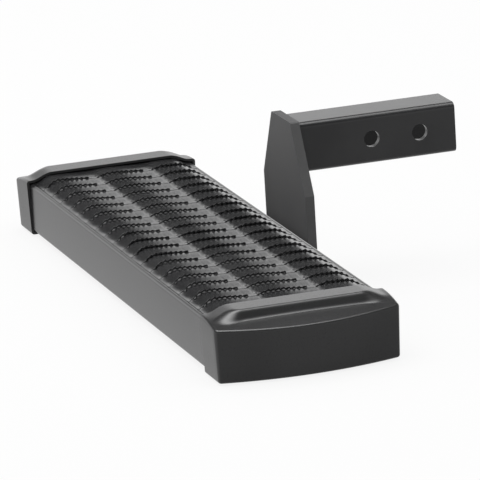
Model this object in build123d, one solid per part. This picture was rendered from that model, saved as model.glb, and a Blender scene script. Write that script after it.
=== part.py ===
from build123d import *
import math
import os

os.makedirs("parts", exist_ok=True)

# Receiver hitch step. Millimetres, +Z up, +X towards the tip of the shank, +Y along the step.
# The origin is the centre of the inner hitch pin hole, on the axis of the shank.

# Shank
shank_size = 50.8
shank_wall = 6.35
shank_corner_radius = 6.0
shank_length = 165.1
pin_diameter = 16.5
pin_tip_inset = 38.1
pin_spacing = 50.8

# Riser plate
riser_thickness = 9.5
riser_top_width = 57.0
riser_bottom_width = 127.0
riser_rise_above_shank = 2.9
riser_kink_drop = 65.2
riser_foot_lift = 4.0
riser_corner_radius = 3.0

# Step plank
step_drop = 84.7
step_shift = 15.4
plank_length = 609.6
plank_width = 177.8
plank_height = 51.0
plank_gauge = 2.0
plank_bend_radius = 1.6
flange_width = 6.0
return_width = 26.0
end_zone_length = 14.6

# Tread rows: each row is one strand between two slits
row_pitch = 30.55
column_count = 3
node_width = 12.8
node_rise = 5.6
crest_rise = 10.0
crest_width = 24.0
side_crest_width = 17.0
rear_rise = 7.3
trough_depth = 1.6
trough_rise = 5.0
lip_length = 10.0
tooth_count = 9
tooth_pitch = 4.7
tooth_depth = 3.2
tooth_tip_set = 0.2

# End caps
cap_wall = 3.0
cap_fit = 0.3
cap_side_length = 44.0
cap_bow = 13.0
cap_draft_angle = 1.4
cap_corner_radius = 3.0
cap_ear_rise = 3.6
cap_ear_width = 9.0
cap_dome_rise = 10.2
cap_dome_slope_width = 14.0
cap_lip_length = 23.5
cap_lip_fall = 2.0
cap_lip_radius = 4.0
cap_drop_length = 8.5
cap_apron_fall = 10.0

# Bracket inside the plank
bracket_length = 121.0
bracket_thickness = 6.35
bracket_leg = 40.0

# Bolts and nuts
bolt_diameter = 8.0
bolt_hole_clearance = 1.0
bolt_head_width = 13.0
bolt_head_height = 5.3
bolt_nut_height = 6.5
bolt_tail = 2.5
bolt_inner_offset = 17.0
bolt_outer_offset = 49.0
bolt_lift = 29.0
foot_bolt_inset = 17.5
foot_bolt_spread = 33.0

# Places that follow from the sizes
riser_face_x = pin_tip_inset + pin_spacing - shank_length
plank_right_x = riser_face_x - riser_thickness
plank_left_x = plank_right_x - plank_width
plank_mid_x = plank_right_x - plank_width / 2
plank_top_z = -step_drop
plank_foot_z = plank_top_z - plank_height
shank_top_z = shank_size / 2
rows_length = plank_length - 2 * end_zone_length
row_count = round(rows_length / row_pitch)
row_step = rows_length / row_count
rows_start_y = step_shift - rows_length / 2
rows_end_y = step_shift + rows_length / 2
cap_bottom_z = plank_foot_z - cap_fit - cap_wall


def section_plane(x, y, z):
    """Plane across the step: local x is +X, local y is +Z, extrusion runs towards -Y."""
    return Plane(origin=(x, y, z), x_dir=(1, 0, 0), z_dir=(0, -1, 0))


def outline(plane, points):
    """Closed face through the points, drawn on the plane."""
    return plane * make_face(Polyline(*points, close=True))


# Shank: square tube with two cross holes for the hitch pin
shank_start = Plane(origin=(riser_face_x, 0, 0), x_dir=(0, 1, 0), z_dir=(1, 0, 0))
bore_size = shank_size - 2 * shank_wall
shank_profile = RectangleRounded(shank_size, shank_size, shank_corner_radius)
shank_profile -= RectangleRounded(bore_size, bore_size, max(shank_corner_radius - shank_wall / 2, 1.0))
shank_tube = extrude(shank_start * shank_profile, amount=shank_length)
for pin_x in (0.0, pin_spacing):
    pin_axis = Plane(origin=(pin_x, 0, 0), x_dir=(1, 0, 0), z_dir=(0, 1, 0))
    shank_tube -= extrude(pin_axis * Circle(pin_diameter / 2), amount=shank_size, both=True)

# Riser: flat plate, narrow at the shank and wide behind the step
riser_top_z = shank_top_z + riser_rise_above_shank
riser_kink_z = shank_top_z - riser_kink_drop
riser_bottom_z = plank_foot_z + riser_foot_lift
riser_plane = Plane(origin=(plank_right_x, 0, 0), x_dir=(0, 1, 0), z_dir=(1, 0, 0))
half_top = riser_top_width / 2
half_bottom = riser_bottom_width / 2
riser_face = make_face(Polyline(
    (half_bottom, riser_bottom_z), (half_bottom, riser_kink_z), (half_top, riser_top_z),
    (-half_top, riser_top_z), (-half_bottom, riser_kink_z), (-half_bottom, riser_bottom_z), close=True))
riser_face = fillet(riser_face.vertices(), riser_corner_radius)
riser_plate = extrude(riser_plane * riser_face, amount=riser_thickness)
bolt_z = plank_foot_z + bolt_lift
bolt_places = [(y, bolt_z) for y in (-bolt_outer_offset, -bolt_inner_offset, bolt_inner_offset, bolt_outer_offset)]


def bolt_plane(x, place):
    """Plane on the axis of a riser bolt, facing +X."""
    return Plane(origin=(x, place[0], place[1]), x_dir=(0, 1, 0), z_dir=(1, 0, 0))


hole_size = bolt_diameter + bolt_hole_clearance
for place in bolt_places:
    riser_plate -= extrude(bolt_plane(plank_right_x, place) * Circle(hole_size / 2), amount=riser_thickness)

# Plank side: flange, outer bend, wall, lower bend and return lip, one profile along the step
outer_bend = plank_bend_radius + plank_gauge
side_face = make_face(Polyline(
    (0, 0), (flange_width, 0), (flange_width, -plank_gauge), (plank_gauge, -plank_gauge),
    (plank_gauge, plank_gauge - plank_height), (return_width, plank_gauge - plank_height),
    (return_width, -plank_height), (0, -plank_height), close=True))
outside_bends = side_face.vertices().filter_by_position(Axis.X, -0.01, 0.01)
side_face = fillet(outside_bends, outer_bend)
inside_bends = side_face.vertices().filter_by_position(Axis.X, plank_gauge - 0.01, plank_gauge + 0.01)
side_face = fillet(inside_bends, plank_bend_radius)
plank_plane = section_plane(plank_left_x, step_shift + plank_length / 2, plank_top_z)
left_side = extrude(plank_plane * side_face, amount=plank_length)
right_side = mirror(left_side, Plane(origin=(plank_mid_x, 0, 0), z_dir=(1, 0, 0)))

# Tread section stations: every column has an arch, and smooth nodes stand between the columns
column_pitch = plank_width / column_count
node_edges = []
for column in range(1, column_count):
    node_centre = column * column_pitch
    node_edges.append((node_centre - node_width / 2, node_centre + node_width / 2))
arch_starts = [flange_width] + [edge[1] for edge in node_edges]
arch_ends = [edge[0] for edge in node_edges] + [plank_width - flange_width]


def strand_line(y, crest, node):
    """Top points of the strand at one place along the step, from the left flange to the right one."""
    line = [(arch_starts[0], 0.0)]
    for column in range(column_count):
        outer = column in (0, column_count - 1)
        flat = side_crest_width if outer else crest_width
        middle = (arch_starts[column] + arch_ends[column]) / 2
        line += [(middle - flat / 2, crest), (middle + flat / 2, crest)]
        if column < column_count - 1:
            line += [(node_edges[column][0], node), (node_edges[column][1], node)]
    line.append((arch_ends[-1], 0.0))
    return [Vector(plank_left_x + x, y, plank_top_z + rise) for x, rise in line]


def plane_faces(*loops):
    """One flat face inside each closed loop of points."""
    return [Face(Wire.make_polygon(loop, close=True)) for loop in loops]


def creased_sheet(lines, gauge):
    """Solid sheet of even gauge over lines of points; a twisted cell is creased on its diagonal."""
    under_lines = [[point - Vector(0, 0, gauge) for point in line] for line in lines]
    faces = []
    for surface in (lines, under_lines):
        for front, rear in zip(surface, surface[1:]):
            for a, b, c, d in zip(front, front[1:], rear[1:], rear):
                twisted = abs((b - a).Z - (c - d).Z) > 1e-6
                faces += plane_faces((a, b, c), (a, c, d)) if twisted else plane_faces((a, b, c, d))
    for top, under in ((lines[0], under_lines[0]), (lines[-1], under_lines[-1])):
        faces += plane_faces(*zip(top, top[1:], under[1:], under))
    for end in (0, -1):
        top = [line[end] for line in lines]
        under = [line[end] for line in under_lines]
        faces += plane_faces(*zip(top, top[1:], under[1:], under))
    return Solid(Shell(faces))


def saw_cut(start, end, y_edge):
    """Prism with a zigzag side that cuts the teeth of one arch into the strand's front edge."""
    first = (start + end - tooth_count * tooth_pitch) / 2
    zigzag = []
    for tooth in range(tooth_count):
        if tooth > 0:
            zigzag.append((first + tooth * tooth_pitch, y_edge + tooth_tip_set))
        zigzag.append((first + (tooth + 0.5) * tooth_pitch, y_edge + tooth_depth))
    corners = [(first, y_edge - 1.0)] + zigzag + [(first + tooth_count * tooth_pitch, y_edge - 1.0)]
    base = Plane(origin=(plank_left_x, 0, plank_top_z - 2 * plank_gauge))
    return extrude(outline(base, corners), amount=crest_rise + 4 * plank_gauge)


# One strand: front lip turned up, shallow trough, rear edge less high
first_strand = creased_sheet([
    strand_line(rows_start_y, crest_rise, node_rise),
    strand_line(rows_start_y + lip_length, trough_rise, node_rise - trough_depth),
    strand_line(rows_start_y + row_step, rear_rise, node_rise)], plank_gauge)
for start, end in zip(arch_starts, arch_ends):
    first_strand -= saw_cut(start, end, rows_start_y)
strands = [Pos(0, row * row_step, 0) * first_strand for row in range(row_count)]

# Plain crowned end zones, which the caps cover
crown_start = cap_ear_width + cap_wall
crown_flat = flange_width + (arch_ends[0] - arch_starts[0] - side_crest_width) / 2
end_top = [(flange_width, 0.0), (crown_start, 0.0), (crown_flat, node_rise),
           (plank_width - crown_flat, node_rise), (plank_width - crown_start, 0.0),
           (plank_width - flange_width, 0.0)]
end_outline = end_top + [(x, z - plank_gauge) for x, z in reversed(end_top)]
end_zones = [
    extrude(outline(section_plane(plank_left_x, y_start, plank_top_z), end_outline), amount=end_zone_length)
    for y_start in (rows_start_y, rows_end_y + end_zone_length)
]

# Square punched holes in the plank for the riser bolts and the foot bolts
punched_hole = Rectangle(hole_size, hole_size)
plank_holes = []
for place in bolt_places:
    hole_start = bolt_plane(plank_right_x - 2 * plank_gauge, place)
    plank_holes.append(extrude(hole_start * punched_hole, amount=3 * plank_gauge))
foot_places = [(plank_left_x + foot_bolt_inset, y) for y in (-foot_bolt_spread, foot_bolt_spread)]
for x, y in foot_places:
    hole_start = Plane(origin=(x, y, plank_foot_z - plank_gauge))
    plank_holes.append(extrude(hole_start * punched_hole, amount=3 * plank_gauge))
sides = [(side - plank_holes) for side in (left_side, right_side)]
step_plank = sides[0] + sides[1:] + strands + end_zones

# End cap, drawn with its rim at y = 0 and its front towards -Y
cap_left_x = plank_left_x - cap_fit - cap_wall
cap_right_x = plank_right_x + cap_fit + cap_wall
cap_reach = cap_side_length + cap_bow
cap_top_z = plank_top_z + cap_ear_rise
cap_width = cap_right_x - cap_left_x
cap_height = cap_top_z - cap_bottom_z


def cap_block(inset):
    """Block of the cap moved inwards by the inset: drafted sides and a front that bows out."""
    left, right = cap_left_x + inset, cap_right_x - inset
    corner_y = inset - cap_side_length
    left_corner, right_corner = (left, corner_y), (right, corner_y)
    edges = Curve() + [
        Line((left, 0), left_corner),
        ThreePointArc(left_corner, (plank_mid_x, inset - cap_reach), right_corner),
        Polyline(right_corner, (right, 0), (left, 0)),
    ]
    plan = make_face(edges)
    corners = plan.vertices().filter_by_position(Axis.Y, corner_y - 0.01, corner_y + 0.01)
    plan = fillet(corners, cap_corner_radius)
    block = extrude(Plane(origin=(0, 0, cap_top_z)) * plan, amount=inset - cap_height)
    narrowing = cap_height * math.tan(math.radians(cap_draft_angle))
    drafted = outline(section_plane(0, 0, 0), [
        (left, cap_top_z), (right, cap_top_z), (right - narrowing, cap_bottom_z), (left + narrowing, cap_bottom_z)])
    return block & extrude(drafted, amount=cap_reach)


def apron_profile(drop, inset):
    """Side profile under the apron: level at the rim, then an arc that falls past the front."""
    reach = cap_reach - inset
    top = cap_top_z - drop
    radius = (reach ** 2 + cap_apron_fall ** 2) / (2 * cap_apron_fall)
    past = reach + cap_wall
    past_z = top - radius + math.sqrt(radius ** 2 - past ** 2)
    bottom = cap_bottom_z - cap_wall
    edges = Curve() + [ThreePointArc((0, top), (-reach, top - cap_apron_fall), (-past, past_z)),
                       Polyline((-past, past_z), (-past, bottom), (0, bottom), (0, top))]
    return make_face(edges)


def across(face):
    """Prism over the cap's whole width from a face drawn in Y and Z."""
    return extrude(Plane(origin=(cap_left_x, 0, 0), x_dir=(0, 1, 0), z_dir=(1, 0, 0)) * face, amount=cap_width)


def dome(inset):
    """Raised dome over the tread: sloped ends, a lip that falls a little and a rounded drop."""
    top = plank_top_z + cap_dome_rise - inset
    apron_drop = cap_apron_fall * ((cap_lip_length + cap_drop_length) / cap_reach) ** 2
    base = cap_top_z - apron_drop - inset - 1.0
    foot = cap_ear_width - cap_wall - cap_fit
    slope = cap_dome_slope_width / (cap_dome_rise - cap_ear_rise)
    left, right = plank_left_x + foot + inset, plank_right_x - foot - inset
    run = slope * (top - base)
    flat_left = left + cap_dome_slope_width
    flat_right = right - cap_dome_slope_width
    section = outline(section_plane(0, 0, 0), [(flat_left - run, base), (flat_left, top),
                                               (flat_right, top), (flat_right + run, base)])
    lip_y = inset - cap_lip_length
    lip_z = top - cap_lip_fall
    drop_rate = cap_drop_length / (cap_dome_rise - cap_lip_fall - cap_ear_rise + cap_wall)
    side = make_face(Polyline((0, base), (0, top), (lip_y, lip_z),
                              (lip_y - drop_rate * (lip_z - base), base), close=True))
    lip_edge = side.vertices().sort_by_distance((lip_y, lip_z))[0]
    side = fillet(lip_edge, cap_lip_radius)
    return extrude(section, amount=cap_reach) & across(side)


cap_body = (cap_block(0.0) & across(apron_profile(0.0, 0.0))) + dome(0.0)
hollow = (cap_block(cap_wall) & across(apron_profile(cap_wall, cap_wall))) + dome(cap_wall)
socket = Pos(plank_mid_x, 0, plank_foot_z - cap_fit) * Box(
    plank_width + 2 * cap_fit, end_zone_length + cap_fit, plank_height + 2 * cap_fit,
    align=(Align.CENTER, Align.MAX, Align.MIN))
end_cap = cap_body - hollow - socket
cap_near = Pos(0, rows_start_y - cap_fit, 0) * end_cap
cap_far = Pos(0, rows_end_y + cap_fit, 0) * mirror(end_cap, Plane.XZ)

# Bracket: angle with one leg behind the plank wall and one on the return lips
bracket_right_x = plank_right_x - plank_gauge
bracket_left_x = plank_left_x + plank_gauge + plank_bend_radius
bracket_base_z = plank_foot_z + plank_gauge
bracket_heel = plank_bend_radius
bracket_outline = [
    (bracket_left_x, bracket_base_z), (bracket_right_x - bracket_heel, bracket_base_z),
    (bracket_right_x, bracket_base_z + bracket_heel), (bracket_right_x, bracket_base_z + bracket_leg),
    (bracket_right_x - bracket_thickness, bracket_base_z + bracket_leg),
    (bracket_right_x - bracket_thickness, bracket_base_z + bracket_thickness),
    (bracket_left_x, bracket_base_z + bracket_thickness)]
inner_bracket = extrude(outline(section_plane(0, bracket_length / 2, 0), bracket_outline), amount=bracket_length)
for place in bolt_places:
    hole_start = bolt_plane(bracket_right_x - 2 * bracket_thickness, place)
    inner_bracket -= extrude(hole_start * punched_hole, amount=3 * bracket_thickness)
for x, y in foot_places:
    inner_bracket -= extrude(Plane(origin=(x, y, bracket_base_z)) * punched_hole, amount=bracket_thickness)

nodes = {
    "shank_tube": shank_tube, "riser_plate": riser_plate, "step_plank": step_plank,
    "inner_bracket": inner_bracket, "end_cap_front": cap_near, "end_cap_rear": cap_far,
}

# Bolts and nuts
hexagon = RegularPolygon(bolt_head_width / 2, 6, major_radius=False)
stem_face = Circle(bolt_diameter / 2)


def bolted_joint(head_plane, grip):
    """Hexagon bolt with its head on the plane's near side, and the nut at the far end of the grip."""
    stem_length = grip + bolt_nut_height + bolt_tail
    bolt = extrude(head_plane * hexagon, amount=bolt_head_height) + extrude(head_plane * stem_face, amount=-stem_length)
    nut_plane = head_plane.offset(-grip)
    nut = extrude(nut_plane * (hexagon - stem_face), amount=-bolt_nut_height)
    return bolt, nut


riser_grip = riser_thickness + plank_gauge + bracket_thickness
for index, place in enumerate(bolt_places, start=1):
    joint = bolted_joint(bolt_plane(riser_face_x, place), riser_grip)
    nodes[f"riser_bolt_{index}"], nodes[f"riser_nut_{index}"] = joint
foot_grip = plank_gauge + bracket_thickness
for index, (x, y) in enumerate(foot_places, start=1):
    head_plane = Plane(origin=(x, y, plank_foot_z), x_dir=(1, 0, 0), z_dir=(0, 0, -1))
    joint = bolted_joint(head_plane, foot_grip)
    nodes[f"foot_bolt_{index}"], nodes[f"foot_nut_{index}"] = joint

for name, solid in nodes.items():
    export_step(solid, f"parts/{name}.step")
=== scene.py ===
"""Looks of a hitch receiver step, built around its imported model.

The tread, the end caps and the steel parts are dressed as separate classes. Lengths are in
millimetres inside the classes and become metres when a mesh is made.
"""

import logging
import math
from dataclasses import dataclass
from enum import Enum
from typing import Optional, Sequence, Union

import bmesh
import bpy
from mathutils import Euler, Matrix, Vector

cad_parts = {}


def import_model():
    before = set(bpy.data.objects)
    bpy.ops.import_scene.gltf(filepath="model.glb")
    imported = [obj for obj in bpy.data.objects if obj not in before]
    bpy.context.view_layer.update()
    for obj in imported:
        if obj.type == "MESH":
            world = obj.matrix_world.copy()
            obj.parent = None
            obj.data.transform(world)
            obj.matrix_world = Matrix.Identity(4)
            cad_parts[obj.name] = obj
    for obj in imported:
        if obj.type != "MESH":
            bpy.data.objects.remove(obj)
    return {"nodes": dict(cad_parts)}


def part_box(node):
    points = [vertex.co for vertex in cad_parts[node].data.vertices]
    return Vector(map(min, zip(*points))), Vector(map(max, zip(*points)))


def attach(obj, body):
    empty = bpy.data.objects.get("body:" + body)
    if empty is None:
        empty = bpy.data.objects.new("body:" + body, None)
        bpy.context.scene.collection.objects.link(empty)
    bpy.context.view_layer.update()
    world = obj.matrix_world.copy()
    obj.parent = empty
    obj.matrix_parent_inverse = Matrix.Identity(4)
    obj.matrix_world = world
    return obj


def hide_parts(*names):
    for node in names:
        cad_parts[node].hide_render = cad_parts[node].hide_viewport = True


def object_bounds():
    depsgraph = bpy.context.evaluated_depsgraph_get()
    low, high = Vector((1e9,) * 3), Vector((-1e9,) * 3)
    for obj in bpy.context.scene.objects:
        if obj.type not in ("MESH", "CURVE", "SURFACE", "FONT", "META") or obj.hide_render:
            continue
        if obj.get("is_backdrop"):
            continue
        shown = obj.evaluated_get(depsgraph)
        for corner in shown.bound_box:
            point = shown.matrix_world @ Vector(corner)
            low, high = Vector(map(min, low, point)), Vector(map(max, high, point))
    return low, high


MM = 0.001
SHANK, RISER, BRACKET = "shank_tube", "riser_plate", "inner_bracket"
CAP_FRONT, CAP_REAR = "end_cap_front", "end_cap_rear"
log = logging.getLogger("hitch_step")

Number = Union[int, float]
Point2 = tuple[float, float]
Point3 = tuple[float, float, float]


class Body(Enum):
    """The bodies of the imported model."""

    ROOT = "root"


class Slot(Enum):
    """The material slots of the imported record."""

    POWDER_COAT = "powder_coat"
    CAP_PLASTIC = "cap_plastic"
    PLATED_STEEL = "plated_steel"


def clamp(value: float, low: float = 0.0, high: float = 1.0) -> float:
    """Value held between low and high."""
    return max(low, min(high, value))


def smooth_step(value: float) -> float:
    """Smooth rise from 0 to 1 over the unit interval."""
    value = clamp(value)
    return value * value * (3.0 - 2.0 * value)


def soft_min(a: float, b: float, blend: float) -> float:
    """The smaller value, with the corner between both rounded over the blend length."""
    mix = clamp(0.5 + 0.5 * (b - a) / blend)
    return b + (a - b) * mix - blend * mix * (1.0 - mix)


def soft_max(a: float, b: float, blend: float) -> float:
    """The larger value, with the corner between both rounded over the blend length."""
    return -soft_min(-a, -b, blend)


@dataclass(frozen=True)
class Zone:
    """A stretch of a line, over which something changes."""

    start: float
    length: float

    def share(self, place: float) -> float:
        """Share of the stretch that lies before a place, from 0 to 1."""
        return clamp((place - self.start) / self.length)

    def rise(self, place: float) -> float:
        """The same share, eased at both ends."""
        return smooth_step((place - self.start) / self.length)


class Signal:
    """A shader socket that takes part in Python expressions by adding Math nodes."""

    def __init__(self, shader: "Shader", socket: bpy.types.NodeSocket) -> None:
        """Wrap a socket.

        Args:
            shader: The node tree builder that owns the socket.
            socket: The output socket whose value is used.
        """
        self.shader = shader
        self.socket = socket

    def _math(
        self, operation: str, first: "Signal | Number", second: "Signal | Number"
    ) -> "Signal":
        """One Math node on two values."""
        return self.shader.node("ShaderNodeMath", {"operation": operation}, {0: first, 1: second})

    def __add__(self, other: "Signal | Number") -> "Signal":
        """Sum of two values."""
        return self._math("ADD", self, other)

    def __radd__(self, other: Number) -> "Signal":
        """Sum with a plain number in front."""
        return self._math("ADD", other, self)

    def __sub__(self, other: "Signal | Number") -> "Signal":
        """Difference of two values."""
        return self._math("SUBTRACT", self, other)

    def __rsub__(self, other: Number) -> "Signal":
        """A plain number minus this value."""
        return self._math("SUBTRACT", other, self)

    def __mul__(self, other: "Signal | Number") -> "Signal":
        """Product of two values."""
        return self._math("MULTIPLY", self, other)

    def __rmul__(self, other: Number) -> "Signal":
        """Product with a plain number in front."""
        return self._math("MULTIPLY", other, self)

    def ramp(self, start: float, end: float, low: float = 0.0, high: float = 1.0) -> "Signal":
        """Smooth change from low to high while the value goes from start to end.

        Args:
            start: Value at which the change begins.
            end: Value at which the change is complete.
            low: Result up to the start.
            high: Result past the end.

        Returns:
            The remapped value.
        """
        settings = {"interpolation_type": "SMOOTHSTEP"}
        inputs = {"Value": self, 1: start, 2: end, 3: low, 4: high}
        return self.shader.node("ShaderNodeMapRange", settings, inputs)


class Shader:
    """Node tree of one material or world, filled through a single node method."""

    def __init__(self, tree: bpy.types.NodeTree) -> None:
        """Start with an empty tree.

        Args:
            tree: The node tree to fill.
        """
        self.tree = tree
        self.tree.nodes.clear()

    def node(
        self,
        kind: str,
        settings: Optional[dict[str, object]] = None,
        inputs: Optional[dict[Union[str, int], object]] = None,
        output: Union[str, int] = 0,
    ) -> Signal:
        """Add one node with its settings first and its sockets after.

        Args:
            kind: Blender's type name of the node.
            settings: Properties of the node.
            inputs: Values or signals for the input sockets, by name or number.
            output: The output socket that the caller goes on with.

        Returns:
            The chosen output as a signal.
        """
        made = self.tree.nodes.new(kind)
        for name, value in (settings or {}).items():
            setattr(made, name, value)
        for name, value in (inputs or {}).items():
            if isinstance(value, Signal):
                self.tree.links.new(value.socket, made.inputs[name])
            else:
                made.inputs[name].default_value = value
        if not made.outputs:
            return Signal(self, made.inputs[0])
        return Signal(self, made.outputs[output])

    def noise(self, scale: float, detail: float, roughness: float = 0.5) -> Signal:
        """Noise over the piece's own coordinates.

        Args:
            scale: Cells per metre.
            detail: Number of octaves.
            roughness: Strength of the fine octaves.

        Returns:
            The noise value from 0 to 1.
        """
        place = self.node("ShaderNodeTexCoord", output="Object")
        inputs = {"Vector": place, "Scale": scale, "Detail": detail, "Roughness": roughness}
        return self.node("ShaderNodeTexNoise", None, inputs)

    def blend(self, share: Signal, first: Point3, second: Point3) -> Signal:
        """Colour that goes from the first to the second as the share goes from 0 to 1.

        Args:
            share: Share of the second colour.
            first: Colour at 0.
            second: Colour at 1.

        Returns:
            The mixed colour.
        """
        # A Mix node takes its two colours at sockets 6 and 7 and gives the colour at output 2.
        inputs = {0: share, 6: (*first, 1.0), 7: (*second, 1.0)}
        return self.node("ShaderNodeMix", {"data_type": "RGBA"}, inputs, output=2)

    def bump(self, height: Signal, strength: float, depth: float) -> Signal:
        """Normal of a surface with the given relief, whose depth is in metres."""
        inputs = {"Strength": strength, "Distance": depth, "Height": height}
        return self.node("ShaderNodeBump", None, inputs)

    def surface(self, inputs: dict[str, object]) -> None:
        """Principled surface wired to the material's output."""
        body = self.node("ShaderNodeBsdfPrincipled", None, inputs)
        self.node("ShaderNodeOutputMaterial", None, {"Surface": body})


def new_material(name: str) -> tuple[bpy.types.Material, Shader]:
    """Make a material with an empty node tree.

    Args:
        name: Name of the material.

    Returns:
        The material and the builder of its tree.
    """
    made = bpy.data.materials.new(name)
    made.use_nodes = True
    return made, Shader(made.node_tree)


@dataclass(frozen=True)
class PowderCoat:
    """Satin black powder coat with the fine ripple of a baked finish.

    The octaves are those of the cloud, the ripple and the speck.
    """

    name: str = "powder_coat_black"
    dark: Point3 = (0.0215, 0.0215, 0.0225)
    light: Point3 = (0.0285, 0.0285, 0.0295)
    roughness: float = 0.24
    cloud_per_metre: float = 14.0
    ripple_per_metre: float = 900.0
    speck_per_metre: float = 3600.0
    octaves: Point3 = (3.0, 2.0, 1.0)
    cloud_range: Point2 = (0.35, 0.65)
    ripple_share: float = 0.7
    speck_share: float = 0.3
    ripple_depth: float = 0.00002
    bump_strength: float = 0.35
    cloud_matte: float = 0.06
    speck_matte: float = 0.05

    def material(self) -> bpy.types.Material:
        """Build the material.

        Returns:
            The new material.
        """
        made, shader = new_material(self.name)
        cloud = shader.noise(self.cloud_per_metre, self.octaves[0])
        ripple = shader.noise(self.ripple_per_metre, self.octaves[1])
        speck = shader.noise(self.speck_per_metre, self.octaves[2])
        colour = shader.blend(cloud.ramp(*self.cloud_range), self.dark, self.light)
        height = ripple * self.ripple_share + speck * self.speck_share
        bump = shader.bump(height, self.bump_strength, self.ripple_depth)
        matte = (cloud - 0.5) * self.cloud_matte
        shader.surface({
            "Base Color": colour,
            "Roughness": self.roughness + matte + (speck - 0.5) * self.speck_matte,
            "Normal": bump,
        })
        return made


@dataclass(frozen=True)
class MouldedPlastic:
    """Matte black moulded plastic with a fine spark-eroded grain.

    The octaves are those of the cloud and the grain.
    """

    name: str = "cap_plastic_black"
    dark: Point3 = (0.022, 0.022, 0.0225)
    light: Point3 = (0.029, 0.029, 0.0295)
    roughness: float = 0.29
    cloud_per_metre: float = 9.0
    grain_per_metre: float = 1500.0
    octaves: Point2 = (2.0, 3.0)
    cloud_range: Point2 = (0.3, 0.7)
    grain_fineness: float = 0.6
    grain_depth: float = 0.00004
    bump_strength: float = 0.4
    grain_matte: float = 0.12

    def material(self) -> bpy.types.Material:
        """Build the material.

        Returns:
            The new material.
        """
        made, shader = new_material(self.name)
        cloud = shader.noise(self.cloud_per_metre, self.octaves[0])
        grain = shader.noise(self.grain_per_metre, self.octaves[1], self.grain_fineness)
        colour = shader.blend(cloud.ramp(*self.cloud_range), self.dark, self.light)
        bump = shader.bump(grain, self.bump_strength, self.grain_depth)
        shader.surface({
            "Base Color": colour,
            "Roughness": self.roughness + (grain - 0.5) * self.grain_matte,
            "Normal": bump,
        })
        return made


@dataclass(frozen=True)
class ZincPlate:
    """Bright zinc plating with faint turning marks.

    The octaves are those of the cloud and the scratches.
    """

    name: str = "zinc_plate"
    colour: Point3 = (0.56, 0.57, 0.56)
    tint: Point3 = (0.60, 0.57, 0.50)
    roughness: float = 0.34
    cloud_per_metre: float = 120.0
    scratch_per_metre: float = 2600.0
    octaves: Point2 = (3.0, 2.0)
    cloud_range: Point2 = (0.4, 0.7)
    scratch_depth: float = 0.00002
    bump_strength: float = 0.2
    scratch_matte: float = 0.15

    def material(self) -> bpy.types.Material:
        """Build the material.

        Returns:
            The new material.
        """
        made, shader = new_material(self.name)
        cloud = shader.noise(self.cloud_per_metre, self.octaves[0])
        scratch = shader.noise(self.scratch_per_metre, self.octaves[1])
        colour = shader.blend(cloud.ramp(*self.cloud_range), self.colour, self.tint)
        bump = shader.bump(scratch, self.bump_strength, self.scratch_depth)
        shader.surface({
            "Base Color": colour,
            "Metallic": 1.0,
            "Roughness": self.roughness + (scratch - 0.5) * self.scratch_matte,
            "Normal": bump,
        })
        return made


class MeshDraft:
    """Vertices and faces in millimetres that become one object in metres."""

    def __init__(self) -> None:
        """Start empty."""
        self.points: list[Point3] = []
        self.faces: list[tuple[int, ...]] = []

    def add_grid(self, rows: Sequence[Sequence[Point3]], flip: bool = False) -> list[list[int]]:
        """Add a rectangular grid of points and its quads.

        Args:
            rows: Points, row by row, all rows of one length.
            flip: Turn the faces over.

        Returns:
            The numbers of the points, row by row.
        """
        numbers = [self.add_line(row) for row in rows]
        for near, far in zip(numbers, numbers[1:]):
            self.bridge(near, far, flip)
        return numbers

    def add_line(self, points: Sequence[Point3]) -> list[int]:
        """Add a line of points and return their numbers."""
        self.points.extend(points)
        return list(range(len(self.points) - len(points), len(self.points)))

    def bridge(self, near: Sequence[int], far: Sequence[int], flip: bool = False) -> None:
        """Join two lines of points by quads."""
        for a, b, c, d in zip(near, near[1:], far[1:], far):
            self.faces.append((d, c, b, a) if flip else (a, b, c, d))

    def object(
        self, name: str, material: bpy.types.Material, smooth_angle: float
    ) -> bpy.types.Object:
        """Make the Blender object.

        Args:
            name: Name of the piece.
            material: Its finish.
            smooth_angle: Faces that meet at less than this angle, in degrees, are shaded smooth.

        Returns:
            The linked object.
        """
        mesh = bpy.data.meshes.new(name)
        mesh.from_pydata([(x * MM, y * MM, z * MM) for x, y, z in self.points], [], self.faces)
        return finish_mesh(mesh, name, material, smooth_angle)


def finish_mesh(
    mesh: bpy.types.Mesh,
    name: str,
    material: bpy.types.Material,
    smooth_angle: float,
    merge: float = 0.002,
) -> bpy.types.Object:
    """Clean a mesh, shade it and link it as an object.

    Args:
        mesh: The mesh in metres.
        name: Name of the piece.
        material: Its finish.
        smooth_angle: Faces that meet at less than this angle, in degrees, are shaded smooth.
        merge: Points closer than this length become one.

    Returns:
        The linked object.
    """
    work = bmesh.new()
    work.from_mesh(mesh)
    bmesh.ops.remove_doubles(work, verts=work.verts, dist=merge * MM)
    bmesh.ops.recalc_face_normals(work, faces=work.faces)
    for face in work.faces:
        face.smooth = True
    limit = math.radians(smooth_angle)
    for edge in work.edges:
        edge.smooth = edge.is_manifold and edge.calc_face_angle(math.pi) < limit
    work.to_mesh(mesh)
    work.free()
    mesh.materials.clear()
    mesh.materials.append(material)
    made = bpy.data.objects.new(name, mesh)
    bpy.context.scene.collection.objects.link(made)
    return made


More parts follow.
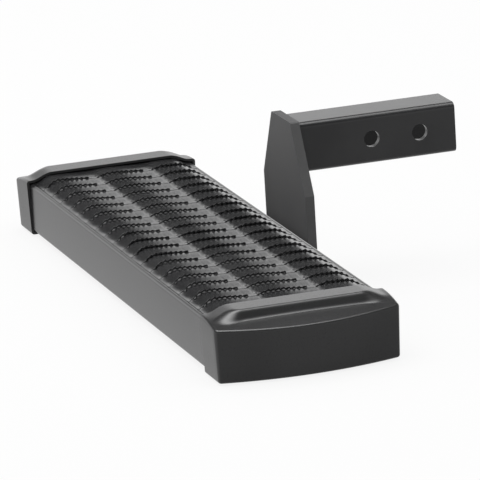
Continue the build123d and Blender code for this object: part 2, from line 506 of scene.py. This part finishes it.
@dataclass
class Tread:
    """The folded tread plank: two channel sides and rows of arched, toothed strands.

    A strand runs across the plank, in arches with flat nodes between them. Its front edge is
    formed up into a lip, with a trough behind it. A zone along an arch is given in shares of the
    arch, a tooth in shares of its pitch and its depth, the places on a node in shares of its
    width, and the rows of points of a strand in shares of the step between strands.
    """

    left: float
    right: float
    start: float
    end: float
    top: float
    material: bpy.types.Material
    height: float = 51.0
    gauge: float = 2.0
    bend: float = 3.6
    bend_steps: int = 6
    flange: float = 4.8
    flange_dip: float = 0.5
    lip_return: float = 26.0
    end_zone: float = 14.6
    end_crown: Zone = Zone(12.0, 12.0)
    end_steps: int = 40
    row_pitch: float = 30.55
    columns: int = 3
    crown_zone: Zone = Zone(0.0, 18.0)
    lift_zone: Zone = Zone(0.0, 9.0)
    node_width: float = 9.0
    node_rise: float = 5.6
    node_lift: float = 1.0
    node_slant: float = 1.0
    node_places: tuple[float, ...] = (-0.45, -0.25, 0.0, 0.25, 0.45)
    front_lift: float = 5.0
    right_lift: float = 2.2
    front_rise: Zone = Zone(0.0, 0.24)
    front_fall: Zone = Zone(0.42, 0.58)
    front_fall_power: float = 1.2
    rear_lift: float = 1.0
    rear_rise: Zone = Zone(0.0, 0.26)
    rear_fall: Zone = Zone(0.5, 0.5)
    rear_fall_power: float = 1.5
    trough_drop: float = 1.5
    trough_rise: float = -0.75
    node_trough: float = -0.9
    trough_sink: Zone = Zone(0.0, 0.18)
    trough_turn: Zone = Zone(0.36, 0.26)
    trough_end: Zone = Zone(0.66, 0.34)
    lip_length: float = 9.0
    lip_power: float = 1.15
    lip_cut: Zone = Zone(0.4, 0.4)
    lip_cut_share: float = 0.3
    node_lip_share: float = 0.5
    tooth_pitch: float = 5.2
    tooth_depth: float = 2.4
    tooth_count: int = 9
    tooth_outline: tuple[Point2, ...] = (
        (0.0, 0.04), (0.14, 0.2), (0.38, 0.86), (0.5, 1.0), (0.62, 0.86), (0.86, 0.2))
    plain_steps: int = 3
    strand_rows: tuple[float, ...] = (
        0.0, 0.012, 0.05, 0.1, 0.16, 0.23, 0.31, 0.44, 0.58, 0.72, 0.86, 0.985, 1.0)
    edge_break: float = 0.35
    edge_thickness: float = 0.8
    smooth_angle: float = 38.0

    def __post_init__(self) -> None:
        """Work out the rows and the columns."""
        self.width = self.right - self.left
        rows_length = self.end - self.start - 2.0 * self.end_zone
        self.row_count = round(rows_length / self.row_pitch)
        self.row_step = rows_length / self.row_count
        self.nodes = [self.width * column / self.columns for column in range(1, self.columns)]
        half = self.node_width / 2
        starts = [self.flange] + [node + half for node in self.nodes]
        ends = [node - half for node in self.nodes] + [self.width - self.flange]
        self.arches = list(zip(starts, ends))

    def inset(self, x: float) -> float:
        """Distance from a place across the plank to the nearer flange."""
        return min(x, self.width - x) - self.flange

    def arch_place(self, x: float) -> Optional[float]:
        """Find a place within its arch.

        Args:
            x: Distance from the plank's left side.

        Returns:
            0 at the arch's left end and 1 at its right end, or None on a node.
        """
        for start, end in self.arches:
            if start <= x <= end:
                return (x - start) / (end - start)
        return None

    def front_height(self, x: float) -> float:
        """Lift of the front edge: a steep rise at an arch's left, then a slow fall to its right.

        Args:
            x: Distance from the plank's left side.

        Returns:
            Lift over the crown.
        """
        place = self.arch_place(x)
        if place is None:
            return self.node_lift
        rise = self.node_lift + (self.front_lift - self.node_lift) * self.front_rise.rise(place)
        fall = self.front_fall.share(place) ** self.front_fall_power
        return rise - (self.front_lift - self.right_lift) * fall

    def rear_height(self, x: float) -> float:
        """Lift of the rear edge: a rise at an arch's left, then a fall over its right half.

        Args:
            x: Distance from the plank's left side.

        Returns:
            Lift over the crown.
        """
        place = self.arch_place(x)
        if place is None:
            return 0.0
        fall = self.rear_fall.share(place) ** self.rear_fall_power
        return self.rear_lift * self.rear_rise.rise(place) * (1.0 - fall)

    def trough_height(self, x: float) -> float:
        """Lift of the trough behind the lip: deep in an arch's left half, shallow in its right.

        Args:
            x: Distance from the plank's left side.

        Returns:
            Lift over the crown, negative where the trough is lower.
        """
        place = self.arch_place(x)
        if place is None:
            return self.node_trough
        left = self.node_trough - self.trough_drop * self.trough_sink.rise(place)
        rest = self.node_trough - self.trough_rise
        right = self.trough_rise + rest * self.trough_end.rise(place)
        return left + (right - left) * self.trough_turn.rise(place)

    def height_at(self, x: float, y: float) -> float:
        """Top of the strand at a place across the plank and behind the strand's front line.

        Args:
            x: Distance from the plank's left side.
            y: Distance behind the front line of the strand.

        Returns:
            Height over the flange.
        """
        place = self.arch_place(x)
        share = self.node_lip_share
        if place is not None:
            share = 1.0 - self.lip_cut_share * self.lip_cut.rise(place)
        length = self.lip_length * share
        rear, trough = self.rear_height(x), self.trough_height(x)
        if y < length:
            slope = (1.0 - max(y, 0.0) / length) ** self.lip_power
            lift = trough + (self.front_height(x) - trough) * slope
        else:
            lift = trough + (rear - trough) * Zone(length, self.row_step - length).rise(y)
        inset = self.inset(x)
        return self.node_rise * self.crown_zone.rise(inset) + self.lift_zone.share(inset) * lift

    def stations(self) -> list[Point2]:
        """List the places across the plank at which a strand has points.

        Returns:
            Distance from the plank's left side and depth of the tooth line there.
        """
        made: list[Point2] = []
        steps = self.plain_steps
        for start, end in self.arches:
            toothed = self.tooth_count * self.tooth_pitch
            first = (start + end - toothed) / 2.0
            last = first + toothed
            made += [(start + (first - start) * step / steps, 0.0) for step in range(steps)]
            for tooth in range(self.tooth_count):
                for share, depth in self.tooth_outline:
                    place = first + (tooth + share) * self.tooth_pitch
                    made.append((place, depth * self.tooth_depth))
            made += [(last + (end - last) * step / steps, 0.0) for step in range(steps + 1)]
        for node in self.nodes:
            made += [(node + self.node_width * share, 0.0) for share in self.node_places]
        last_place = self.width - self.flange
        return sorted((clamp(x, self.flange, last_place), depth) for x, depth in made)

    def add_strand(self, draft: MeshDraft, y_front: float) -> None:
        """Add one strand as a sheet of even gauge with toothed front and rear edges.

        Args:
            draft: The mesh that takes it.
            y_front: Place of the strand's front line along the plank.
        """
        stations = self.stations()
        top_rows: list[list[Point3]] = []
        for share in self.strand_rows:
            row = []
            for x, tooth in stations:
                y = tooth + self.row_step * share
                z = self.height_at(x, y)
                if share == 0.0 and self.arch_place(x) is None:
                    y, z = y - self.node_slant, z - self.node_slant
                elif share in (0.0, 1.0):
                    z -= self.edge_break
                row.append((self.left + x, y_front + y, self.top + z))
            top_rows.append(row)
        front, rear = [
            [(x, y, z - self.edge_thickness) for x, y, z in top_rows[end]] for end in (0, -1)]
        middle = [[(x, y, z - self.gauge) for x, y, z in row] for row in top_rows[1:-1]]
        top = draft.add_grid(top_rows)
        under = draft.add_grid([front] + middle + [rear], flip=True)
        draft.bridge(under[0], top[0])
        draft.bridge(top[-1], under[-1])
        for end in (0, -1):
            draft.bridge([row[end] for row in top], [row[end] for row in under], flip=end == 0)

    def side_outline(self) -> list[Point2]:
        """Draw the section of the left side: flange, outer bend, wall, lower bend and lip.

        Returns:
            Points of the closed section, from the left side and from the flange's top.
        """
        outer, inner = self.bend, self.bend - self.gauge

        def arc(centre: Point2, radius: float, start: float, end: float) -> list[Point2]:
            """Draw an arc of one of the bends.

            Args:
                centre: Centre of the arc.
                radius: Its radius.
                start: Angle of its first point in degrees.
                end: Angle of its last point in degrees.

            Returns:
                Points along the arc.
            """
            steps, (across, up) = self.bend_steps, centre
            turn = [math.radians(start + (end - start) * k / steps) for k in range(steps + 1)]
            return [(across + radius * math.cos(a), up + radius * math.sin(a)) for a in turn]

        low = self.bend - self.height
        points = [(self.flange, -self.flange_dip)] + arc((outer, -outer), outer, 90, 180)
        points += arc((outer, low), outer, 180, 270)
        points += [(self.lip_return, -self.height), (self.lip_return, self.gauge - self.height)]
        points += arc((outer, low), inner, 270, 180) + arc((outer, -outer), inner, 180, 90)
        return points + [(self.flange, -self.gauge)]

    def add_side(self, draft: MeshDraft, mirrored: bool) -> None:
        """Add one folded side along the whole plank.

        Args:
            draft: The mesh that takes it.
            mirrored: Add the right side in place of the left one.
        """
        outline = self.side_outline()
        rows = []
        for y in (self.start, self.end):
            row = []
            for x, z in outline + outline[:1]:
                across = self.right - x if mirrored else self.left + x
                row.append((across, y, self.top + z))
            rows.append(row)
        numbers = draft.add_grid(rows, flip=mirrored)
        draft.faces.append(tuple(numbers[0][:-1]))
        draft.faces.append(tuple(reversed(numbers[1][:-1])))

    def add_end_zone(self, draft: MeshDraft, y_start: float) -> None:
        """Add one plain crowned end that a cap covers.

        Args:
            draft: The mesh that takes it.
            y_start: Place along the plank at which it begins.
        """
        reach, steps = self.width - 2.0 * self.flange, self.end_steps
        across = [self.flange + reach * step / steps for step in range(steps + 1)]
        rows = []
        for y in (y_start, y_start + self.end_zone):
            row = []
            for x in across:
                crown = self.node_rise * self.end_crown.rise(min(x, self.width - x))
                row.append((self.left + x, y, self.top + crown))
            rows.append(row)
        top = draft.add_grid(rows)
        lower = [[(x, y, z - self.gauge) for x, y, z in row] for row in rows]
        under = draft.add_grid(lower, flip=True)
        draft.bridge(under[0], top[0])
        draft.bridge(top[1], under[1])
        for end in (0, -1):
            draft.bridge([row[end] for row in top], [row[end] for row in under])

    def build(self) -> bpy.types.Object:
        """Build the whole plank as one piece.

        Returns:
            The new piece.
        """
        draft = MeshDraft()
        first = self.start + self.end_zone
        for row in range(self.row_count):
            self.add_strand(draft, first + row * self.row_step)
        for y_start in (self.start, self.end - self.end_zone):
            self.add_end_zone(draft, y_start)
        for mirrored in (False, True):
            self.add_side(draft, mirrored)
        made = draft.object("tread_plank", self.material, self.smooth_angle)
        dress(made, Slot.POWDER_COAT, "step_plank")
        return made


@dataclass
class EndCap:
    """One moulded end cap: bowed front, crowned apron and a raised lip over the tread.

    The cap's own coordinates are x, from its middle across the step, and s, outwards from the
    rim that meets the tread.
    """

    name: str
    node: str
    left: float
    right: float
    rim_y: float
    outward: float
    top: float
    bottom: float
    material: bpy.types.Material
    wall: float = 2.6
    side_length: float = 44.0
    bow: float = 13.0
    draft: float = 1.6
    edge_radius: float = 3.0
    edge_steps: int = 6
    wall_shares: Point3 = (0.33, 0.66, 1.0)
    corner_radius: float = 5.2
    corner_steps: int = 3
    corner_clear: float = 1.3
    foot_radius: float = 2.8
    foot_steps: int = 4
    ear_rise: float = 3.6
    ear_width: float = 9.0
    dome_rise: float = 10.2
    dome_blend: float = 2.6
    slope_width: float = 14.0
    lip_length: float = 26.5
    lip_fall: float = -0.2
    lip_corner: float = 9.0
    drop_length: float = 4.4
    apron_fall: float = 10.0
    apron_crown: float = 1.2
    apron_reach: Zone = Zone(0.0, 30.0)
    apron_blend: float = 2.2
    coarse_step: float = 2.5
    coarse_count: int = 7
    fine_start: float = 15.6
    fine_step: float = 0.65
    fine_count: int = 28
    side_end_step: float = 2.0
    front_steps: int = 100
    under_scale: float = 0.97
    smooth_angle: float = 40.0

    def top_at(self, x: float, s: float) -> float:
        """Height of the cap's top over the flange.

        Args:
            x: Distance from the cap's middle across the step.
            s: Distance outwards from the rim.

        Returns:
            Height in millimetres.
        """
        half = (self.right - self.left) / 2.0
        reach = self.side_length + self.bow
        apron = self.ear_rise - self.apron_fall * (s / reach) ** 2
        apron += self.apron_crown * self.apron_reach.rise(s) * (1.0 - (x / half) ** 2)
        corner = self.lip_corner
        across = max(abs(x) - (half - self.ear_width - self.slope_width - corner), 0.0)
        along = max(s - (self.lip_length - corner), 0.0)
        turn = math.atan2(along, across)
        width = self.slope_width * math.cos(turn) ** 2 + self.drop_length * math.sin(turn) ** 2
        fall = (math.hypot(across, along) - corner) / width
        lip = self.dome_rise - self.lip_fall * s / self.lip_length
        dome = soft_min(lip, lip - fall * (self.dome_rise - self.ear_rise), self.dome_blend)
        return soft_max(apron, dome, self.apron_blend)

    def side_places(self, corner_s: float) -> list[float]:
        """Places along a side of the plan, closer together where the lip falls.

        Args:
            corner_s: Place of the corner with the front.

        Returns:
            Distances outwards from the rim.
        """
        coarse = [self.coarse_step * k for k in range(self.coarse_count)]
        fine = [self.fine_start + self.fine_step * k for k in range(self.fine_count)]
        limit = corner_s - 2.0 * self.side_end_step
        kept = [place for place in coarse + fine if place < limit]
        return kept + [corner_s - self.side_end_step, corner_s]

    def boundary(self, inset: float) -> list[list[Point2]]:
        """Plan lines of the top: left side, front and right side, as (x, s) points.

        Args:
            inset: Distance by which the plan is moved inwards.

        Returns:
            Three lines of points, which meet at the middles of the rounded corners.
        """
        corner_x = (self.right - self.left) / 2.0 - inset
        corner_s = self.side_length - inset
        radius = (corner_x ** 2 + self.bow ** 2) / (2.0 * self.bow)
        centre_s = corner_s + self.bow - radius
        side = [Vector((-corner_x, place)) for place in self.side_places(corner_s)]
        start_angle = math.atan2(corner_s - centre_s, -corner_x)
        end_angle = math.atan2(corner_s - centre_s, corner_x)
        front = []
        for k in range(self.front_steps + 1):
            angle = start_angle + (end_angle - start_angle) * k / self.front_steps
            front.append(Vector((radius * math.cos(angle), centre_s + radius * math.sin(angle))))
        side, front = self.round_corner(side, front, self.corner_radius - inset)
        right_side = [Vector((-p.x, p.y)) for p in side]
        mirrored = [Vector((-p.x, p.y)) for p in reversed(front)]
        middle = len(front) // 2
        front = front[: middle + 1] + mirrored[len(mirrored) - middle:]
        return [[tuple(p) for p in line] for line in (side, front, right_side)]

    def round_corner(
        self, side: list[Vector], front: list[Vector], radius: float
    ) -> tuple[list[Vector], list[Vector]]:
        """Round the plan corner where a side line meets the front line.

        Args:
            side: Line from the rim to the corner.
            front: Line from the corner along the front.
            radius: Radius of the rounding.

        Returns:
            The two lines, which then meet at the middle of the rounding.
        """
        corner = side[-1]
        back = (side[-2] - corner).normalized()
        ahead = (front[1] - corner).normalized()
        half_angle = back.angle(ahead) / 2.0
        cut = radius / math.tan(half_angle)
        centre = corner + (back + ahead).normalized() * (radius / math.sin(half_angle))
        touch_side, touch_front = corner + back * cut, corner + ahead * cut
        middle = centre + (corner - centre).normalized() * radius

        def between(a: Vector, b: Vector) -> list[Vector]:
            """Points on the rounding between two of its points.

            Args:
                a: The first of them.
                b: The second of them.

            Returns:
                The points, without the two.
            """
            made = []
            for k in range(1, self.corner_steps):
                spot = a.lerp(b, k / self.corner_steps) - centre
                made.append(centre + spot.normalized() * radius)
            return made

        clear = cut * self.corner_clear
        kept_side = [p for p in side if (p - corner).length > clear]
        kept_front = [p for p in front if (p - corner).length > clear]
        new_side = kept_side + [touch_side] + between(touch_side, middle) + [middle]
        new_front = [middle] + between(middle, touch_front) + [touch_front] + kept_front
        return new_side, new_front

    def patch(self, lines: list[list[Point2]]) -> list[list[Point2]]:
        """Fill the plan between the rim and the three lines by a smooth grid.

        Args:
            lines: Left side, front and right side.

        Returns:
            Rows of points from the rim outwards.
        """
        left, front, right = [[Vector(p) for p in line] for line in lines]
        last_column = len(front) - 1
        grid = []
        for side_left, side_right in zip(left, right):
            v = side_left.y / left[-1].y
            row = []
            for column, ahead in enumerate(front):
                u = column / last_column
                rim = left[0].lerp(right[0], u)
                across = side_left.lerp(side_right, u)
                along = rim.lerp(ahead, v)
                corner = rim.lerp(front[0].lerp(front[-1], u), v)
                row.append(tuple(across + along - corner))
            grid.append(row)
        return grid

    def place(self, x: float, s: float, z: float) -> Point3:
        """Point of the part frame from the cap's own coordinates."""
        return ((self.left + self.right) / 2.0 + x, self.rim_y + self.outward * s, z)

    @staticmethod
    def outer_edge(rows: list[list[int]]) -> list[int]:
        """Edge of a grid without its rim: the left side, the front and the right side back."""
        sides = [row[0] for row in rows[:-1]], [row[-1] for row in reversed(rows)]
        return sides[0] + rows[-1][:-1] + sides[1]

    @staticmethod
    def outward_normals(loop: list[Vector]) -> list[Vector]:
        """Directions out of the plan at the points of its edge.

        Args:
            loop: The edge, from the rim's left end to its right end.

        Returns:
            One unit vector for each point, straight to the side at the rim.
        """
        normals = []
        for before, after in zip(loop[:1] + loop[:-1], loop[1:] + loop[-1:]):
            ahead = after - before
            normals.append(Vector((-ahead.y, ahead.x)).normalized())
        normals[0], normals[-1] = Vector((-1.0, 0.0)), Vector((1.0, 0.0))
        return normals

    def skirt(self, loop: list[Vector]) -> list[tuple[float, list[float]]]:
        """Lines down the outside: rounded top edge, drafted wall and rounded foot.

        Args:
            loop: Edge of the top.

        Returns:
            For each line its distance outside the edge and its height at each point.
        """
        tops = [self.top + self.top_at(p.x, p.y) for p in loop]
        radius, foot = self.edge_radius, self.foot_radius
        foot_top = self.bottom + foot
        made = []
        for step in range(1, self.edge_steps + 1):
            turn = math.radians(90.0 / self.edge_steps * step)
            drop = radius * (1.0 - math.cos(turn))
            made.append((radius * math.sin(turn), [z - drop for z in tops]))
        for share in self.wall_shares:
            heights = [z - radius + (foot_top - z + radius) * share for z in tops]
            made.append((radius - self.draft * share, heights))
        for step in range(1, self.foot_steps + 1):
            turn = math.radians(90.0 / self.foot_steps * step)
            z = foot_top - foot * math.sin(turn)
            made.append((radius - self.draft - foot * (1.0 - math.cos(turn)), [z] * len(loop)))
        return made

    def build(self) -> bpy.types.Object:
        """Build the cap as one shell with an inner side.

        Returns:
            The new piece.
        """
        draft = MeshDraft()
        flip = self.outward > 0
        lines = self.boundary(self.edge_radius)
        grid = self.patch(lines)
        rows = [[self.place(x, s, self.top + self.top_at(x, s)) for x, s in row] for row in grid]
        last = self.outer_edge(draft.add_grid(rows, flip))
        loop = [Vector(p) for p in lines[0][:-1] + lines[1][:-1] + list(reversed(lines[2]))]
        normals = self.outward_normals(loop)
        for offset, heights in self.skirt(loop):
            spots = [point + normal * offset for point, normal in zip(loop, normals)]
            ring = draft.add_line([self.place(p.x, p.y, z) for p, z in zip(spots, heights)])
            draft.bridge(last, ring, not flip)
            last = ring
        scale = self.under_scale
        under = [[self.place(x * scale, s * scale, self.bottom) for x, s in row] for row in grid]
        draft.bridge(last, self.outer_edge(draft.add_grid(under, not flip)), not flip)
        made = draft.object(self.name, self.material, self.smooth_angle)
        solid = made.modifiers.new("wall", "SOLIDIFY")
        solid.thickness = self.wall * MM
        solid.offset = -1.0
        solid.use_rim = True
        dress(made, Slot.CAP_PLASTIC, self.node)
        return made


def dress(piece: bpy.types.Object, slot: Slot, *nodes: str) -> None:
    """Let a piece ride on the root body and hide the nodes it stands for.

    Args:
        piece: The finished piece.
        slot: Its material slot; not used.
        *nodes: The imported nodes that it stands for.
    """
    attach(piece, Body.ROOT.value)
    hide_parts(*nodes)
    log.info("%s: %d faces", piece.name, len(piece.data.polygons))


@dataclass(frozen=True)
class EdgeBreak:
    """Rounding of a steel part's sharp edges."""

    size: float
    segments: int


PLATE_EDGE = EdgeBreak(0.7, 3)
FASTENER_EDGE = EdgeBreak(0.35, 2)


@dataclass
class SteelPart:
    """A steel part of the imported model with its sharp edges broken."""

    node: str
    material: bpy.types.Material
    slot: Slot
    edge: EdgeBreak
    merge: float = 0.01
    flat_angle: float = 1.0
    sharp_angle: float = 35.0
    smooth_angle: float = 40.0

    def build(self, source: bpy.types.Object) -> bpy.types.Object:
        """Build the piece from the node's own mesh.

        Args:
            source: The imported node.

        Returns:
            The new piece, which stands for the node.
        """
        work = bmesh.new()
        work.from_mesh(source.data)
        bmesh.ops.remove_doubles(work, verts=work.verts, dist=self.merge * MM)
        bmesh.ops.dissolve_limit(
            work, angle_limit=math.radians(self.flat_angle), verts=work.verts, edges=work.edges)
        limit = math.radians(self.sharp_angle)
        sharp = [edge for edge in work.edges if edge.is_manifold and edge.calc_face_angle() > limit]
        bmesh.ops.bevel(
            work, geom=sharp, offset=self.edge.size * MM, offset_type="OFFSET",
            segments=self.edge.segments, profile=0.5, affect="EDGES", clamp_overlap=True)
        mesh = bpy.data.meshes.new(self.node)
        work.to_mesh(mesh)
        work.free()
        made = finish_mesh(mesh, f"{self.node}_coated", self.material, self.smooth_angle)
        even = made.modifiers.new("even_shading", "WEIGHTED_NORMAL")
        even.keep_sharp = True
        dress(made, self.slot, self.node)
        return made


@dataclass
class Studio:
    """Camera, floor and light, with places in metres and the sensor in millimetres.

    The levels are strengths of the surround. A height is the upward share of a direction, from
    -1 straight down to 1 straight up, and a depth is its share along the depth axis.
    """

    camera_place: Point3 = (-1.6705, -4.8356, 1.2555)
    azimuth: float = -17.6005
    elevation: float = 14.876
    roll: float = -3.476
    focal_pixels: float = 5278.0
    view_shift: Point2 = (0.0021, 0.0021)
    image_pixels: float = 480.0
    sensor: float = 36.0
    clip: Point2 = (0.1, 100.0)
    floor_size: float = 40.0
    floor_paint: float = 0.9
    floor_glow: float = 0.86
    ground_level: float = 0.85
    band_start: float = -0.02
    band_rise: float = 0.12
    band_level: float = 1.50
    band_top: float = 0.30
    band_end: float = 0.42
    sky_level: float = 0.12
    depth_axis: Point3 = (-0.35, 0.94, 0.0)
    front_depth: float = -0.45
    rear_depth: float = 0.25
    front_share: float = 0.42
    softbox_start: float = 0.86
    softbox_edge: float = 0.1
    softbox_level: float = 7.0
    diffuse_level: float = 0.75
    lamp_size: float = 2.4
    lamp_energy: float = 30.0
    lamp_gloss: float = 0.3
    lamp_place: Point3 = (-0.6, 0.5, 2.6)
    lamp_turn: Point3 = (0.18, -0.2, 0.0)

    def add_camera(self) -> None:
        """Add the camera at the photograph's viewing angle."""
        data = bpy.data.cameras.new("camera")
        data.sensor_width = self.sensor
        data.lens = self.focal_pixels / self.image_pixels * self.sensor
        data.shift_x, data.shift_y = self.view_shift
        data.clip_start, data.clip_end = self.clip
        camera = bpy.data.objects.new("camera", data)
        bpy.context.scene.collection.objects.link(camera)
        azimuth, elevation = math.radians(self.azimuth), math.radians(self.elevation)
        back = Vector((
            math.sin(azimuth) * math.cos(elevation),
            -math.cos(azimuth) * math.cos(elevation),
            math.sin(elevation),
        ))
        right = Vector((math.cos(azimuth), math.sin(azimuth), 0.0))
        up = back.cross(right)
        roll = math.radians(self.roll)
        turned_right = right * math.cos(roll) + up * math.sin(roll)
        turned_up = up * math.cos(roll) - right * math.sin(roll)
        turn = Matrix((turned_right, turned_up, back)).transposed()
        camera.rotation_mode = "QUATERNION"
        camera.rotation_quaternion = turn.to_quaternion()
        camera.location = self.camera_place
        bpy.context.scene.camera = camera

    def add_floor(self, height: float) -> None:
        """Add the pale floor: white to the camera, with a soft shadow, and not mirrored.

        Args:
            height: Level of the floor.
        """
        half = self.floor_size / 2.0
        mesh = bpy.data.meshes.new("floor")
        plan = [(-half, -half), (half, -half), (half, half), (-half, half)]
        mesh.from_pydata([(x, y, height) for x, y in plan], [], [(0, 1, 2, 3)])
        floor = bpy.data.objects.new("floor", mesh)
        bpy.context.scene.collection.objects.link(floor)
        material, shader = new_material("floor_white")
        seen = shader.node("ShaderNodeLightPath", output="Is Camera Ray")
        paint_colour = (self.floor_paint, self.floor_paint, self.floor_paint, 1.0)
        paint = shader.node("ShaderNodeBsdfDiffuse", None, {"Color": paint_colour})
        white = {"Color": (1.0, 1.0, 1.0, 1.0), "Strength": 1.0}
        glow = shader.node("ShaderNodeEmission", None, white)
        inputs = {0: seen * self.floor_glow, 1: paint, 2: glow}
        mixed = shader.node("ShaderNodeMixShader", None, inputs)
        shader.node("ShaderNodeOutputMaterial", None, {"Surface": mixed})
        mesh.materials.append(material)
        floor.visible_glossy = False
        floor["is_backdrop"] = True

    def add_world(self) -> None:
        """Light the part evenly, and give its gloss a studio to mirror.

        Seen by gloss, the surround is a pale ground, a bright band over the horizon, a dark sky
        and a softbox overhead, and all of it is dimmer towards the camera's side.
        """
        world = bpy.data.worlds.new("studio")
        bpy.context.scene.world = world
        world.use_nodes = True
        shader = Shader(world.node_tree)
        direction = shader.node("ShaderNodeTexCoord", output="Generated")
        height = shader.node("ShaderNodeSeparateXYZ", None, {0: direction}, output="Z")
        depth = shader.node(
            "ShaderNodeVectorMath", {"operation": "DOT_PRODUCT"},
            {0: direction, 1: self.depth_axis}, output=1)
        low = height.ramp(
            self.band_start, self.band_start + self.band_rise, self.ground_level, self.band_level)
        high = height.ramp(self.band_top, self.band_end, 1.0, self.sky_level / self.band_level)
        side = depth.ramp(self.front_depth, self.rear_depth, self.front_share, 1.0)
        glossy = shader.node("ShaderNodeLightPath", output="Is Glossy Ray")
        softbox = height.ramp(
            self.softbox_start, self.softbox_start + self.softbox_edge, 0.0, self.softbox_level)
        mirrored = (low * high + softbox) * side
        level = mirrored * glossy + (1.0 - glossy) * self.diffuse_level
        inputs = {"Color": (1.0, 1.0, 1.0, 1.0), "Strength": level}
        light = shader.node("ShaderNodeBackground", None, inputs)
        shader.node("ShaderNodeOutputWorld", None, {"Surface": light})

    def add_lamp(self) -> None:
        """Add one large soft lamp overhead for the floor shadow."""
        data = bpy.data.lights.new("overhead", "AREA")
        data.shape = "RECTANGLE"
        data.size, data.size_y = self.lamp_size, self.lamp_size
        data.energy = self.lamp_energy
        data.specular_factor = self.lamp_gloss
        lamp = bpy.data.objects.new("overhead", data)
        lamp.location = self.lamp_place
        lamp.rotation_euler = Euler(self.lamp_turn)
        bpy.context.scene.collection.objects.link(lamp)

    def build(self, floor_height: float) -> None:
        """Build the whole studio round the part.

        Args:
            floor_height: Level of the floor.
        """
        self.add_camera()
        self.add_floor(floor_height)
        self.add_world()
        self.add_lamp()
        bpy.context.scene.view_settings.view_transform = "Standard"


def box_mm(node: str) -> tuple[Vector, Vector]:
    """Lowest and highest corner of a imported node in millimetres."""
    low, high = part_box(node)
    return low / MM, high / MM


def main() -> None:
    """Build every piece."""
    logging.basicConfig(level=logging.INFO, format="%(name)s: %(message)s")
    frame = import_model()
    cad_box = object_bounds()
    coat = PowderCoat().material()
    shank_coat = PowderCoat(name="powder_coat_shank", roughness=0.30).material()
    # The riser plate and the bracket get a lighter copy of the black powder coat: painted light
    # that brightens their faces.
    painted_light_plate_coat = PowderCoat(
        name="powder_coat_plate_painted_light", dark=(0.066, 0.066, 0.067), light=(0.075, 0.075, 0.076),
        roughness=0.58).material()
    plastic = MouldedPlastic().material()
    zinc = ZincPlate().material()

    plank_low, plank_high = box_mm("step_plank")
    flange_top = plank_low.z + Tread.height
    Tread(plank_low.x, plank_high.x, plank_low.y, plank_high.y, flange_top, coat).build()

    for name, node, outward in (("end_cap_near", CAP_FRONT, -1.0), ("end_cap_far", CAP_REAR, 1.0)):
        low, high = box_mm(node)
        rim = high.y if outward < 0 else low.y
        EndCap(name, node, low.x, high.x, rim, outward, flange_top, low.z, plastic).build()

    for node, source in frame["nodes"].items():
        if node in ("step_plank", CAP_FRONT, CAP_REAR):
            continue
        if node in (SHANK, RISER, BRACKET):
            finish = shank_coat if node == SHANK else painted_light_plate_coat
            piece = SteelPart(node, finish, Slot.POWDER_COAT, PLATE_EDGE).build(source)
            # The photograph shows no mirror image of the shank or the riser plate.
            piece.visible_glossy = node == BRACKET
        else:
            SteelPart(node, zinc, Slot.PLATED_STEEL, FASTENER_EDGE).build(source)

    Studio().build(cad_box[0].z)


if __name__ == "__main__":
    main()
